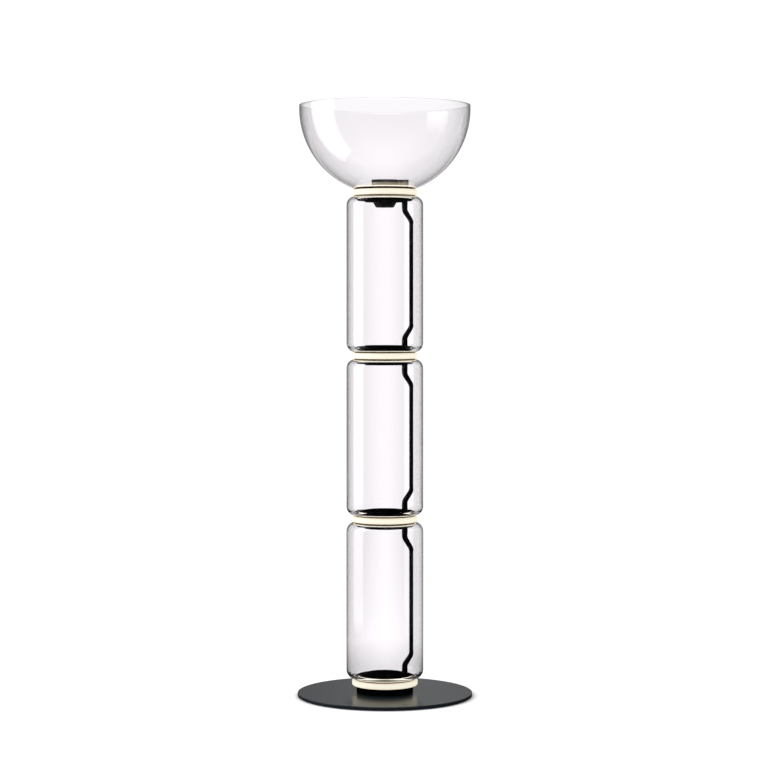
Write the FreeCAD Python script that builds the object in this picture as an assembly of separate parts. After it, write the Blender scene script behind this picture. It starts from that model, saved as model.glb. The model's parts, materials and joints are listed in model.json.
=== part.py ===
"""Floor lamp of stacked glass cylinders under a glass bowl, with a glowing joint below every glass module.

Millimetres, +Z up, origin on the floor at the centre of the base plate. The front of the lamp faces -Y.

The stack, from the floor up: glides, base plate, hub, base joint, cylinder, joint, cylinder, joint,
cylinder, bowl joint, bowl. A joint is an aluminium core with an LED strip round its rim, an opal ring over
the strip, and on each side that carries a cylinder an opal collar, a rubber seal for the glass mouth and a
flange that holds both.
A power link inside every cylinder carries the current from one joint to the next.
The bowl is gripped by its seal, which an opal cover squeezes when the knob under the joint is tightened.
"""

import FreeCAD
import Part
import math
import os

# Clearances

RUNNING_FIT = 0.1
SLIDING_FIT = 0.15
ASSEMBLY_FIT = 0.2
SEAL_FIT = 0.3
FACE_GAP = 0.3

# Driving dimensions of the glass

CYLINDER_NAMES = ["lower", "middle", "upper"]
CYLINDER_RADIUS = 125.0
CYLINDER_HEIGHT = 508.0
SHOULDER_RADIUS = 29.0
GLASS_WALL = 4.5
MOUTH_RADIUS = 93.0
MOUTH_ROUND = 2.0
BOWL_RADIUS = 279.0
BOWL_WALL = 4.5
BOWL_RIM_RISE = 10.0
BOWL_FOOT_WIDTH = 3.0

# Driving dimensions of the base

BASE_RADIUS = 284.0
BASE_THICKNESS = 10.0
BASE_EDGE = 1.2
GLIDE_RADIUS = 15.0
GLIDE_THICKNESS = 2.0
GLIDE_INSET = 32.0
GLIDE_COUNT = 6
HUB_STEP = 4.0
HUB_HEIGHT = 23.5
HUB_WALL = 14.0
HUB_ROOF = 5.0
HUB_EDGE = 1.0
BASE_SCREW_RADIUS = 3.0
BASE_SCREW_HEAD_RADIUS = 6.0
BASE_SCREW_HEAD_HEIGHT = 3.5
GLAND_BORE = 3.5
GLAND_HEAD = 3.0
GLAND_STEP = 2.0
GLAND_EDGE = 1.0
BOARD_THICKNESS = 1.6
DRIVER_INSET = 2.0
DRIVER_PART_HEIGHT = 9.0
DRIVER_PART_LENGTH = 22.0
DRIVER_PART_WIDTH = 30.0
DRIVER_PART_OFFSET = 24.0

# Driving dimensions of a light joint

JOINT_NAMES = ["base_joint", "lower_joint", "upper_joint", "bowl_joint"]
RING_REACH = 13.5
RING_HEIGHT = 19.0
RING_EDGE = 5.0
SEAL_BEAD_WIDTH = 3.7
SEAL_BEAD_HEIGHT = 1.8
SEAL_BEAD_ROUND = 0.8
SEAL_LIP = 2.0
SEAL_LIP_REACH = 6.0
COLLAR_WIDTH = 15.0
COLLAR_HEIGHT = 8.4
COLLAR_EDGE = 0.8
CORE_STEP = 1.0
CORE_LIP = 3.0
CORE_POCKET_DEPTH = 5.0
STRIP_SEAT_DEPTH = 4.0
STRIP_SIDE_GAP = 1.0
STRIP_THICKNESS = 0.8
LED_COUNT = 24
LED_SIZE = 3.0
LED_HEIGHT = 1.2
FLANGE_PASS = 3.0
FLANGE_THICKNESS = 6.0
FLANGE_EDGE = 1.0
FLANGE_POCKET_ROOF = 7.5
BOSS_RADIUS = 65.0
BOSS_HEIGHT = 5.6
BOSS_EDGE = 1.0
POCKET_INNER = 24.0
POCKET_RIM = 9.0
SCREW_CIRCLE = 55.0
SCREW_COUNT = 3
SCREW_RADIUS = 2.5
SCREW_HEAD_RADIUS = 4.2
SCREW_HEAD_HEIGHT = 3.0
SCREW_BITE = 6.5
HEX_RADIUS = 2.0
HEX_DEPTH = 1.6

# Driving dimensions of a power link

LINK_TURN = -20.0
LINK_FOOT_INSET = 5.5
LINK_RUN_RADIUS = 90.6
LINK_STUB = 36.0
LINK_JOGGLE = 34.0
LINK_BEND = 24.0
LINK_TUBE_RADIUS = 6.5
LINK_PLUG_WALL = 2.9
LINK_PLUG_LIP = 0.8
LINK_PLUG_FLOOR = 4.0
LINK_PIN_STEP = 2.7
LINK_SOCKET_FLOOR = 1.0
LINK_NOTCH_MARGIN = 1.4
WIRE_RADIUS = 1.3
WIRE_SPACING = 3.2

# Driving dimensions of the bowl clamp

BOWL_BEAD_HEIGHT = 7.5
COVER_PASS = 1.0
COVER_RIM = 3.0
COVER_WALL = 4.0
COVER_PLATE = 2.5
CLAMP_SEAT_RADIUS = 40.0
CAP_RADIUS = 43.6
CAP_HEIGHT = 8.6
CAP_EDGE = 2.0
CAP_ROOF = 5.5
SLEEVE_STEP = 1.0
SLEEVE_HEIGHT = 11.1
SLEEVE_NOSE_RADIUS = 20.0
SLEEVE_NOSE_HEIGHT = 2.5
SLEEVE_PIN_RADIUS = 2.5
SLEEVE_PIN_CIRCLE = 26.0
SLEEVE_PIN_LENGTH = 12.0
SLEEVE_PIN_ROOT = 9.0
STUD_RADIUS = 6.0
KNOB_TOP_RADIUS = 40.0
KNOB_BOTTOM_RADIUS = 29.0
KNOB_HEIGHT = 18.5
KNOB_FLOOR = 3.5
KNOB_EDGE = 1.5
KNOB_FLUTES = 16
KNOB_FLUTE_RADIUS = 3.2
KNOB_FLUTE_DEPTH = 1.5
UPLIGHT_INSET = 5.0
UPLIGHT_COUNT = 16
UPLIGHT_SIZE = 5.0
UPLIGHT_HEIGHT = 1.0
BLOCK_GAP = 2.9
BLOCK_LENGTH = 34.0
BLOCK_WIDTH = 20.0
BLOCK_HEIGHT = 12.6
BLOCK_STEP = 0.6
BLOCK_CORNER = 6.0
LID_HEIGHT = 6.5
LID_EDGE = 1.5

# Heights that follow: absolute in the base and the stack, and about its own middle in a joint

PLATE_TOP = GLIDE_THICKNESS + BASE_THICKNESS
HUB_TOP = PLATE_TOP + HUB_HEIGHT
HUB_CEILING = HUB_TOP - HUB_ROOF
GLAND_HEIGHT = (PLATE_TOP + HUB_CEILING) / 2
HALF_RING = RING_HEIGHT / 2
JOINT_PITCH = RING_HEIGHT + 2 * SEAL_LIP + CYLINDER_HEIGHT
JOINT_HEIGHTS = [HUB_TOP + HALF_RING + n * JOINT_PITCH for n in range(len(JOINT_NAMES))]
BEAD_TOP = HALF_RING + SEAL_LIP + SEAL_BEAD_HEIGHT
FLANGE_FOOT = HALF_RING + COLLAR_HEIGHT
FLANGE_FACE = FLANGE_FOOT + FLANGE_THICKNESS
BOSS_FACE = FLANGE_FACE + BOSS_HEIGHT
SCREW_HEAD_SEAT = BOSS_FACE - SCREW_HEAD_HEIGHT - FACE_GAP
BOWL_BEAD_TOP = HALF_RING + SEAL_LIP + BOWL_BEAD_HEIGHT
COVER_TOP = BOWL_BEAD_TOP + COVER_RIM
COVER_CEILING = COVER_TOP - COVER_PLATE
SLEEVE_FOOT = COVER_TOP + FACE_GAP
SLEEVE_TOP = SLEEVE_FOOT + SLEEVE_HEIGHT
CAP_TOP = SLEEVE_TOP + CAP_HEIGHT
STUD_TOP = CAP_TOP - CAP_ROOF - FACE_GAP
BLOCK_TOP = COVER_TOP + BLOCK_HEIGHT
KNOB_TOP = -BOSS_FACE - FACE_GAP
KNOB_BOTTOM = KNOB_TOP - KNOB_HEIGHT
STUD_FOOT = KNOB_BOTTOM + KNOB_FLOOR

# Radii that follow

COLLAR_RADIUS = MOUTH_RADIUS - SEAL_FIT - SEAL_BEAD_WIDTH
COLLAR_BORE = COLLAR_RADIUS - COLLAR_WIDTH
SEAL_LIP_RADIUS = MOUTH_RADIUS + SEAL_LIP_REACH
RING_RADIUS = MOUTH_RADIUS + RING_REACH
FLANGE_RADIUS = MOUTH_RADIUS - FLANGE_PASS
CORE_RADIUS = COLLAR_RADIUS - CORE_STEP
STRIP_SEAT_RADIUS = CORE_RADIUS - STRIP_SEAT_DEPTH
HUB_RADIUS = CORE_RADIUS + HUB_STEP
POCKET_OUTER = SCREW_CIRCLE - POCKET_RIM
HUB_CAVITY_RADIUS = HUB_RADIUS - HUB_WALL
BASE_SCREW_CIRCLE = HUB_RADIUS - HUB_WALL / 2
GLIDE_CIRCLE = BASE_RADIUS - GLIDE_INSET
GLAND_HEAD_RADIUS = (HUB_CEILING - PLATE_TOP) / 2 - FACE_GAP
GLAND_RADIUS = GLAND_HEAD_RADIUS - GLAND_STEP
LINK_FOOT_RADIUS = COLLAR_BORE - LINK_FOOT_INSET
LINK_PLUG_RADIUS = LINK_TUBE_RADIUS + LINK_PLUG_WALL
LINK_PIN_RADIUS = LINK_PLUG_RADIUS - LINK_PIN_STEP
LINK_PIN_LENGTH = FLANGE_THICKNESS - LINK_SOCKET_FLOOR - FACE_GAP
WIRE_WAY_RADIUS = WIRE_SPACING / 2 + WIRE_RADIUS + FACE_GAP
COVER_BORE = COLLAR_RADIUS - COVER_WALL
UPLIGHT_INNER = CLAMP_SEAT_RADIUS + UPLIGHT_INSET
UPLIGHT_OUTER = COVER_BORE - UPLIGHT_INSET
SCREW_START = LINK_TURN + 180 / SCREW_COUNT

ORIGIN = FreeCAD.Vector(0, 0, 0)
ALONG_X = FreeCAD.Vector(1, 0, 0)
ALONG_Y = FreeCAD.Vector(0, 1, 0)
UP = FreeCAD.Vector(0, 0, 1)


# Helpers

def turned(radius, degrees, height=0.0):
    """The point at a radius, an angle round the axis and a height."""
    angle = math.radians(degrees)
    return FreeCAD.Vector(radius * math.cos(angle), radius * math.sin(angle), height)


def rounded_edges(corners, closed=True):
    """Edges in the XZ plane through corners (x, z) or (x, z, radius), with an arc at each radius."""
    count = len(corners)
    points = [FreeCAD.Vector(corner[0], 0, corner[1]) for corner in corners]
    radii = [corner[2] if len(corner) > 2 else 0.0 for corner in corners]
    arrivals, bulges, departures = [], [], []
    for n, here in enumerate(points):
        if radii[n] == 0:
            arrivals.append(here)
            bulges.append(None)
            departures.append(here)
            continue
        back = (points[n - 1] - here).normalize()
        ahead = (points[(n + 1) % count] - here).normalize()
        half = back.getAngle(ahead) / 2
        reach = radii[n] / math.tan(half)
        bisector = (back + ahead).normalize()
        arrivals.append(here + back * reach)
        bulges.append(here + bisector * (radii[n] / math.sin(half) - radii[n]))
        departures.append(here + ahead * reach)
    edges = []
    for n in range(count):
        if bulges[n] is not None:
            edges.append(Part.Arc(arrivals[n], bulges[n], departures[n]).toShape())
        after = (n + 1) % count
        if (closed or after) and departures[n].distanceToPoint(arrivals[after]) > 1e-6:
            edges.append(Part.LineSegment(departures[n], arrivals[after]).toShape())
    return edges


def turned_solid(corners):
    """A solid of revolution about Z from a closed profile of (radius, height) corners."""
    face = Part.Face(Part.Wire(rounded_edges(corners)))
    return face.revolve(ORIGIN, UP, 360)


def round_bar(radius, low, high, x=0.0, y=0.0):
    """A round bar along Z between two heights."""
    return Part.makeCylinder(radius, high - low, FreeCAD.Vector(x, y, low))


def around(shape, count, start=0.0):
    """Copies of a shape, evenly spaced round Z."""
    copies = []
    for n in range(count):
        copy = shape.copy()
        copy.rotate(ORIGIN, UP, start + n * 360.0 / count)
        copies.append(copy)
    return copies


def flipped(shape):
    """A joint's upper piece mirrored to its lower side."""
    return shape.mirror(ORIGIN, UP)


def raised(shape, height):
    """A copy of a shape, moved up."""
    copy = shape.copy()
    copy.translate(FreeCAD.Vector(0, 0, height))
    return copy


def wire_way(low, high):
    """The hole that the wires of a link pass through."""
    place = turned(LINK_FOOT_RADIUS, LINK_TURN)
    return round_bar(WIRE_WAY_RADIUS, low, high, place.x, place.y)


def screw_holes(low, high):
    return around(round_bar(SCREW_RADIUS + RUNNING_FIT, low, high, SCREW_CIRCLE), SCREW_COUNT, SCREW_START)


def screws(tip, seat):
    """Screws from a tip height to a seat height, with a head and its hex socket beyond the seat."""
    outward = UP if seat > tip else UP * -1
    shank = round_bar(SCREW_RADIUS, min(tip, seat), max(tip, seat), SCREW_CIRCLE)
    head = Part.makeCylinder(
        SCREW_HEAD_RADIUS, SCREW_HEAD_HEIGHT, FreeCAD.Vector(SCREW_CIRCLE, 0, seat), outward)
    head_top = FreeCAD.Vector(SCREW_CIRCLE, 0, seat) + outward * SCREW_HEAD_HEIGHT
    hexagon = Part.makePolygon([head_top + turned(HEX_RADIUS, 60 * n) for n in range(7)])
    socket = Part.Face(hexagon).extrude(outward * -HEX_DEPTH)
    return around(shank.fuse(head).cut(socket), SCREW_COUNT, SCREW_START)


# Base

def base_plate():
    plate = turned_solid([
        (0, GLIDE_THICKNESS),
        (BASE_RADIUS, GLIDE_THICKNESS, BASE_EDGE),
        (BASE_RADIUS, PLATE_TOP, BASE_EDGE),
        (0, PLATE_TOP),
    ])
    shank = round_bar(BASE_SCREW_RADIUS + RUNNING_FIT, GLIDE_THICKNESS, PLATE_TOP, BASE_SCREW_CIRCLE)
    head = round_bar(
        BASE_SCREW_HEAD_RADIUS + ASSEMBLY_FIT, GLIDE_THICKNESS, GLIDE_THICKNESS + BASE_SCREW_HEAD_HEIGHT,
        BASE_SCREW_CIRCLE)
    return plate.cut(around(shank.fuse(head), SCREW_COUNT))


def floor_glides():
    glide = round_bar(GLIDE_RADIUS, 0, GLIDE_THICKNESS, GLIDE_CIRCLE)
    return Part.makeCompound(around(glide, GLIDE_COUNT))


def base_hub():
    drum = turned_solid([
        (0, HUB_CEILING),
        (HUB_CAVITY_RADIUS, HUB_CEILING),
        (HUB_CAVITY_RADIUS, PLATE_TOP),
        (HUB_RADIUS, PLATE_TOP),
        (HUB_RADIUS, HUB_TOP, HUB_EDGE),
        (0, HUB_TOP),
    ])
    screw_top = PLATE_TOP + SCREW_BITE + FACE_GAP
    base_screw_hole = round_bar(BASE_SCREW_RADIUS + RUNNING_FIT, PLATE_TOP, screw_top, BASE_SCREW_CIRCLE)
    gland_start = FreeCAD.Vector(0, HUB_CAVITY_RADIUS - HUB_WALL / 2, GLAND_HEIGHT)
    gland_hole = Part.makeCylinder(GLAND_RADIUS + RUNNING_FIT, 2 * HUB_WALL, gland_start, ALONG_Y)
    cuts = around(base_screw_hole, SCREW_COUNT) + screw_holes(HUB_CEILING, HUB_TOP)
    return drum.cut(cuts + [gland_hole, wire_way(HUB_CEILING, HUB_TOP)])


def base_screws():
    """Screws from under the plate into the hub, with sunk heads."""
    head_top = GLIDE_THICKNESS + BASE_SCREW_HEAD_HEIGHT
    shank = round_bar(BASE_SCREW_RADIUS, head_top, PLATE_TOP + SCREW_BITE, BASE_SCREW_CIRCLE)
    head = round_bar(BASE_SCREW_HEAD_RADIUS, GLIDE_THICKNESS, head_top, BASE_SCREW_CIRCLE)
    return Part.makeCompound(around(shank.fuse(head), SCREW_COUNT))


def cable_gland():
    """The bush in the back of the hub that a mains cord goes in through."""
    bush = turned_solid([
        (GLAND_BORE, -HUB_WALL),
        (GLAND_RADIUS, -HUB_WALL),
        (GLAND_RADIUS, 0),
        (GLAND_HEAD_RADIUS, 0),
        (GLAND_HEAD_RADIUS, GLAND_HEAD, GLAND_EDGE),
        (GLAND_BORE, GLAND_HEAD),
    ])
    bush.rotate(ORIGIN, ALONG_X, -90)
    bush.translate(FreeCAD.Vector(0, HUB_RADIUS, GLAND_HEIGHT))
    return bush


def driver_board():
    """The driver: a round board on the plate with its tall parts on top."""
    top = PLATE_TOP + BOARD_THICKNESS
    board = round_bar(HUB_CAVITY_RADIUS - DRIVER_INSET, PLATE_TOP, top)
    tall_part = Part.makeBox(
        DRIVER_PART_LENGTH, DRIVER_PART_WIDTH, DRIVER_PART_HEIGHT,
        FreeCAD.Vector(DRIVER_PART_OFFSET - DRIVER_PART_LENGTH / 2, -DRIVER_PART_WIDTH / 2, top))
    return board.fuse(around(tall_part, 2))


# Light joints, modelled about their own middle height

def joint_core(carries_clamp):
    """The aluminium spool: a groove round its rim for the LED strip and a pocket in each flanged face."""
    groove_edge = HALF_RING - CORE_LIP
    pocket_floor = HALF_RING - CORE_POCKET_DEPTH
    flanged_face = [
        (0, HALF_RING),
        (POCKET_INNER, HALF_RING),
        (POCKET_INNER, pocket_floor),
        (POCKET_OUTER, pocket_floor),
        (POCKET_OUTER, HALF_RING),
    ]
    clamp_face = [(0, COVER_CEILING), (CLAMP_SEAT_RADIUS, COVER_CEILING), (CLAMP_SEAT_RADIUS, HALF_RING)]
    lower_face = [(radius, -height) for radius, height in flanged_face]
    rim = [
        (CORE_RADIUS, -HALF_RING),
        (CORE_RADIUS, -groove_edge),
        (STRIP_SEAT_RADIUS, -groove_edge),
        (STRIP_SEAT_RADIUS, groove_edge),
        (CORE_RADIUS, groove_edge),
        (CORE_RADIUS, HALF_RING),
    ]
    upper_face = clamp_face if carries_clamp else flanged_face
    core = turned_solid(lower_face + rim + upper_face[::-1])
    hole_depth = SCREW_BITE + FACE_GAP
    cuts = [wire_way(-HALF_RING, HALF_RING)] + screw_holes(-HALF_RING, hole_depth - HALF_RING)
    if carries_clamp:
        cuts.append(round_bar(STUD_RADIUS + RUNNING_FIT, -HALF_RING, COVER_CEILING))
        cuts += sleeve_pin_holes()
    else:
        cuts += screw_holes(HALF_RING - hole_depth, HALF_RING)
    return core.cut(cuts)


def led_strip():
    """A flexible strip in the core's groove, with its LEDs facing out."""
    outer = STRIP_SEAT_RADIUS + STRIP_THICKNESS
    half = HALF_RING - CORE_LIP - STRIP_SIDE_GAP
    strip = turned_solid([
        (STRIP_SEAT_RADIUS, -half), (outer, -half), (outer, half), (STRIP_SEAT_RADIUS, half)])
    root = STRIP_THICKNESS / 2
    chip = Part.makeBox(
        LED_HEIGHT + root, LED_SIZE, LED_SIZE, FreeCAD.Vector(outer - root, -LED_SIZE / 2, -LED_SIZE / 2))
    return strip.fuse(around(chip, LED_COUNT))


def diffuser_ring():
    """The opal ring that glows between two glass modules."""
    bore = CORE_RADIUS + ASSEMBLY_FIT
    return turned_solid([
        (bore, -HALF_RING),
        (RING_RADIUS, -HALF_RING, RING_EDGE),
        (RING_RADIUS, HALF_RING, RING_EDGE),
        (bore, HALF_RING),
    ])


def glass_collar():
    """The opal collar that stands in a glass mouth."""
    return turned_solid([
        (COLLAR_BORE, HALF_RING),
        (COLLAR_RADIUS, HALF_RING),
        (COLLAR_RADIUS, FLANGE_FOOT, COLLAR_EDGE),
        (COLLAR_BORE, FLANGE_FOOT),
    ])


def mouth_seal(bead_top):
    """The rubber seal: a lip under the rim of the glass and a bead inside its mouth."""
    bore = COLLAR_RADIUS + RUNNING_FIT
    bead_radius = MOUTH_RADIUS - SEAL_FIT
    lip_top = HALF_RING + SEAL_LIP
    return turned_solid([
        (bore, HALF_RING),
        (SEAL_LIP_RADIUS, HALF_RING),
        (SEAL_LIP_RADIUS, lip_top),
        (bead_radius, lip_top),
        (bead_radius, bead_top, SEAL_BEAD_ROUND),
        (bore, bead_top),
    ])


def joint_flange(stud_bore):
    """The black flange over a collar, with a raised boss, a socket for a power link and sunk screws."""
    pocket_roof = BOSS_FACE - FLANGE_POCKET_ROOF
    spigot_radius = COLLAR_BORE - ASSEMBLY_FIT
    flange = turned_solid([
        (0, HALF_RING),
        (POCKET_INNER, HALF_RING),
        (POCKET_INNER, pocket_roof),
        (POCKET_OUTER, pocket_roof),
        (POCKET_OUTER, HALF_RING),
        (spigot_radius, HALF_RING),
        (spigot_radius, FLANGE_FOOT),
        (FLANGE_RADIUS, FLANGE_FOOT, FLANGE_EDGE),
        (FLANGE_RADIUS, FLANGE_FACE, FLANGE_EDGE),
        (BOSS_RADIUS, FLANGE_FACE),
        (BOSS_RADIUS, BOSS_FACE, BOSS_EDGE),
        (0, BOSS_FACE),
    ])
    place = turned(LINK_FOOT_RADIUS, LINK_TURN)
    notch = round_bar(LINK_PLUG_RADIUS + LINK_NOTCH_MARGIN, FLANGE_FACE, BOSS_FACE, place.x, place.y)
    socket_floor = FLANGE_FOOT + LINK_SOCKET_FLOOR
    socket = round_bar(LINK_PIN_RADIUS + ASSEMBLY_FIT, socket_floor, FLANGE_FACE, place.x, place.y)
    head_way = round_bar(SCREW_HEAD_RADIUS + ASSEMBLY_FIT, SCREW_HEAD_SEAT, BOSS_FACE, SCREW_CIRCLE)
    cuts = [notch, socket, wire_way(HALF_RING, FLANGE_FACE)]
    cuts += around(head_way, SCREW_COUNT, SCREW_START) + screw_holes(HALF_RING, SCREW_HEAD_SEAT)
    if stud_bore:
        cuts.append(round_bar(STUD_RADIUS + RUNNING_FIT, HALF_RING, BOSS_FACE))
    return flange.cut(cuts)


# Bowl clamp, modelled about the middle height of the bowl joint

def sleeve_pin_holes():
    hole_floor = SLEEVE_FOOT - SLEEVE_PIN_LENGTH - FACE_GAP
    hole = round_bar(SLEEVE_PIN_RADIUS + SLIDING_FIT, hole_floor, COVER_TOP, SLEEVE_PIN_CIRCLE)
    return around(hole, 2)


def bowl_cover():
    """The opal cover: it lights the bowl, and its rim squeezes the bowl's seal."""
    overhang = MOUTH_RADIUS - COVER_PASS
    stud_way = STUD_RADIUS + ASSEMBLY_FIT
    cover = turned_solid([
        (stud_way, COVER_CEILING),
        (COVER_BORE, COVER_CEILING),
        (COVER_BORE, HALF_RING),
        (COLLAR_RADIUS, HALF_RING),
        (COLLAR_RADIUS, BOWL_BEAD_TOP),
        (overhang, BOWL_BEAD_TOP),
        (overhang, COVER_TOP, COLLAR_EDGE),
        (stud_way, COVER_TOP),
    ])
    return cover.cut(sleeve_pin_holes())


def uplight_board():
    """A ring of LEDs that shine up through the cover into the bowl."""
    top = HALF_RING + BOARD_THICKNESS
    board = turned_solid([
        (UPLIGHT_INNER, HALF_RING), (UPLIGHT_OUTER, HALF_RING), (UPLIGHT_OUTER, top), (UPLIGHT_INNER, top)])
    root = BOARD_THICKNESS / 2
    middle = (UPLIGHT_INNER + UPLIGHT_OUTER) / 2
    chip = Part.makeBox(
        UPLIGHT_SIZE, UPLIGHT_SIZE, UPLIGHT_HEIGHT + root,
        FreeCAD.Vector(middle - UPLIGHT_SIZE / 2, -UPLIGHT_SIZE / 2, top - root))
    return board.fuse(around(chip, UPLIGHT_COUNT))


def block_bar(inset, low, high):
    """An upright bar with the connector block's rounded oblong outline, smaller all round by an inset."""
    inner = CAP_RADIUS + BLOCK_GAP + inset
    outer = CAP_RADIUS + BLOCK_GAP + BLOCK_LENGTH - inset
    half = BLOCK_WIDTH / 2 - inset
    corner = BLOCK_CORNER - inset
    outline = Part.Wire(rounded_edges([
        (inner, -half, corner),
        (outer, -half, corner),
        (outer, half, corner),
        (inner, half, corner),
    ]))
    bar = Part.Face(outline).extrude(ALONG_Y * (low - high))
    bar.rotate(ORIGIN, ALONG_X, -90)
    bar.rotate(ORIGIN, UP, LINK_TURN)
    return raised(bar, low)


def connector_block():
    """The oblong terminal block on the cover, for the wires of a further power link."""
    return block_bar(BLOCK_STEP, COVER_TOP, BLOCK_TOP)


def connector_lid():
    """The lid over the terminal block."""
    top = BLOCK_TOP + LID_HEIGHT
    lid = block_bar(0, BLOCK_TOP, top)
    return lid.makeFillet(LID_EDGE, [edge for edge in lid.Edges if abs(edge.CenterOfMass.z - top) < 1e-6])


def clamp_sleeve():
    """The nut on the stud that presses the cover down, kept from turning by two pins."""
    radius = CAP_RADIUS - SLEEVE_STEP
    nose_top = SLEEVE_TOP + SLEEVE_NOSE_HEIGHT
    sleeve = turned_solid([
        (0, SLEEVE_FOOT),
        (radius, SLEEVE_FOOT),
        (radius, SLEEVE_TOP),
        (SLEEVE_NOSE_RADIUS, SLEEVE_TOP),
        (SLEEVE_NOSE_RADIUS, nose_top),
        (0, nose_top),
    ])
    pin_tip = SLEEVE_FOOT - SLEEVE_PIN_LENGTH
    pin = round_bar(SLEEVE_PIN_RADIUS, pin_tip, SLEEVE_FOOT + SLEEVE_PIN_ROOT, SLEEVE_PIN_CIRCLE)
    thread = round_bar(STUD_RADIUS + RUNNING_FIT, SLEEVE_FOOT, nose_top)
    return sleeve.fuse(around(pin, 2)).cut(thread)


def clamp_cap():
    """The cap over the sleeve, which closes the end of the stud."""
    cap = turned_solid([
        (0, SLEEVE_TOP),
        (CAP_RADIUS, SLEEVE_TOP),
        (CAP_RADIUS, CAP_TOP, CAP_EDGE),
        (0, CAP_TOP),
    ])
    nose_way = round_bar(
        SLEEVE_NOSE_RADIUS + RUNNING_FIT, SLEEVE_TOP, SLEEVE_TOP + SLEEVE_NOSE_HEIGHT + FACE_GAP)
    return cap.cut([nose_way, round_bar(STUD_RADIUS + RUNNING_FIT, SLEEVE_TOP, CAP_TOP - CAP_ROOF)])


def clamp_stud():
    return round_bar(STUD_RADIUS, STUD_FOOT, STUD_TOP)


def clamp_knob():
    """The tapered hand knob under the joint, with grip flutes down its side."""
    knob = turned_solid([
        (0, KNOB_BOTTOM),
        (KNOB_BOTTOM_RADIUS, KNOB_BOTTOM, KNOB_EDGE),
        (KNOB_TOP_RADIUS, KNOB_TOP, KNOB_EDGE),
        (0, KNOB_TOP),
    ])
    slope = FreeCAD.Vector(KNOB_TOP_RADIUS - KNOB_BOTTOM_RADIUS, 0, KNOB_HEIGHT)
    outward = FreeCAD.Vector(slope.z, 0, -slope.x).normalize()
    lower_edge = FreeCAD.Vector(KNOB_BOTTOM_RADIUS, 0, KNOB_BOTTOM)
    foot = lower_edge + outward * (KNOB_FLUTE_RADIUS - KNOB_FLUTE_DEPTH)
    flute = Part.makeCylinder(KNOB_FLUTE_RADIUS, 3 * slope.Length, foot - slope, slope)
    stud_seat = round_bar(STUD_RADIUS + RUNNING_FIT, STUD_FOOT, KNOB_TOP)
    return knob.cut(around(flute, KNOB_FLUTES) + [stud_seat])


# Glass

def glass_cylinder():
    """A blown cylinder, its foot at height 0: straight wall, round shoulders, a polished mouth each end."""
    mouth_round = min(MOUTH_ROUND, 0.45 * GLASS_WALL)
    shoulder = min(SHOULDER_RADIUS, CYLINDER_RADIUS - MOUTH_RADIUS - mouth_round)
    inner = CYLINDER_RADIUS - GLASS_WALL
    return turned_solid([
        (MOUTH_RADIUS, 0, mouth_round),
        (CYLINDER_RADIUS, 0, shoulder),
        (CYLINDER_RADIUS, CYLINDER_HEIGHT, shoulder),
        (MOUTH_RADIUS, CYLINDER_HEIGHT, mouth_round),
        (MOUTH_RADIUS, CYLINDER_HEIGHT - GLASS_WALL, mouth_round),
        (inner, CYLINDER_HEIGHT - GLASS_WALL, shoulder - GLASS_WALL),
        (inner, GLASS_WALL, shoulder - GLASS_WALL),
        (MOUTH_RADIUS, GLASS_WALL, mouth_round),
    ])


def glass_bowl():
    """A blown bowl, its foot at height 0: just over half a sphere, with a ground foot and a round rim."""
    foot_radius = MOUTH_RADIUS + BOWL_FOOT_WIDTH
    inner_radius = BOWL_RADIUS - BOWL_WALL
    middle_radius = BOWL_RADIUS - BOWL_WALL / 2
    centre = math.sqrt(BOWL_RADIUS ** 2 - foot_radius ** 2)

    def on_sphere(radius, angle):
        return FreeCAD.Vector(radius * math.cos(angle), 0, centre + radius * math.sin(angle))

    foot_angle = -math.acos(foot_radius / BOWL_RADIUS)
    mouth_angle = -math.acos(MOUTH_RADIUS / inner_radius)
    rim_angle = math.asin(BOWL_RIM_RISE / BOWL_RADIUS)
    crest_angle = rim_angle + BOWL_WALL / 2 / middle_radius
    mouth_foot = FreeCAD.Vector(MOUTH_RADIUS, 0, 0)
    outer_foot = on_sphere(BOWL_RADIUS, foot_angle)
    outer_rim = on_sphere(BOWL_RADIUS, rim_angle)
    inner_rim = on_sphere(inner_radius, rim_angle)
    inner_mouth = on_sphere(inner_radius, mouth_angle)
    edges = [
        Part.LineSegment(mouth_foot, outer_foot).toShape(),
        Part.Arc(outer_foot, on_sphere(BOWL_RADIUS, (foot_angle + rim_angle) / 2), outer_rim).toShape(),
        Part.Arc(outer_rim, on_sphere(middle_radius, crest_angle), inner_rim).toShape(),
        Part.Arc(inner_rim, on_sphere(inner_radius, (mouth_angle + rim_angle) / 2), inner_mouth).toShape(),
        Part.LineSegment(inner_mouth, mouth_foot).toShape(),
    ]
    return Part.Face(Part.Wire(edges)).revolve(ORIGIN, UP, 360)


# Power links, between the faces of the flanges at the two ends of a cylinder

def link_corners(low_flange, high_flange, low_end, high_end):
    """Corners of a link's centre line, as (radius, height, bend)."""
    low_bend = low_flange + LINK_STUB
    high_bend = high_flange - LINK_STUB
    return [
        (LINK_FOOT_RADIUS, low_end),
        (LINK_FOOT_RADIUS, low_bend, LINK_BEND),
        (LINK_RUN_RADIUS, low_bend + LINK_JOGGLE, LINK_BEND),
        (LINK_RUN_RADIUS, high_bend - LINK_JOGGLE, LINK_BEND),
        (LINK_FOOT_RADIUS, high_bend, LINK_BEND),
        (LINK_FOOT_RADIUS, high_end),
    ]


def swept_bar(corners, radius, sideways=0.0):
    """A round bar along a centre line, moved sideways and turned to the link's place."""
    path = Part.Wire(rounded_edges(corners, closed=False))
    ring = Part.Circle(FreeCAD.Vector(corners[0][0], 0, corners[0][1]), UP, radius)
    bar = path.makePipeShell([Part.Wire(ring.toShape())], True, False)
    bar.translate(ALONG_Y * sideways)
    bar.rotate(ORIGIN, UP, LINK_TURN)
    return bar


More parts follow.
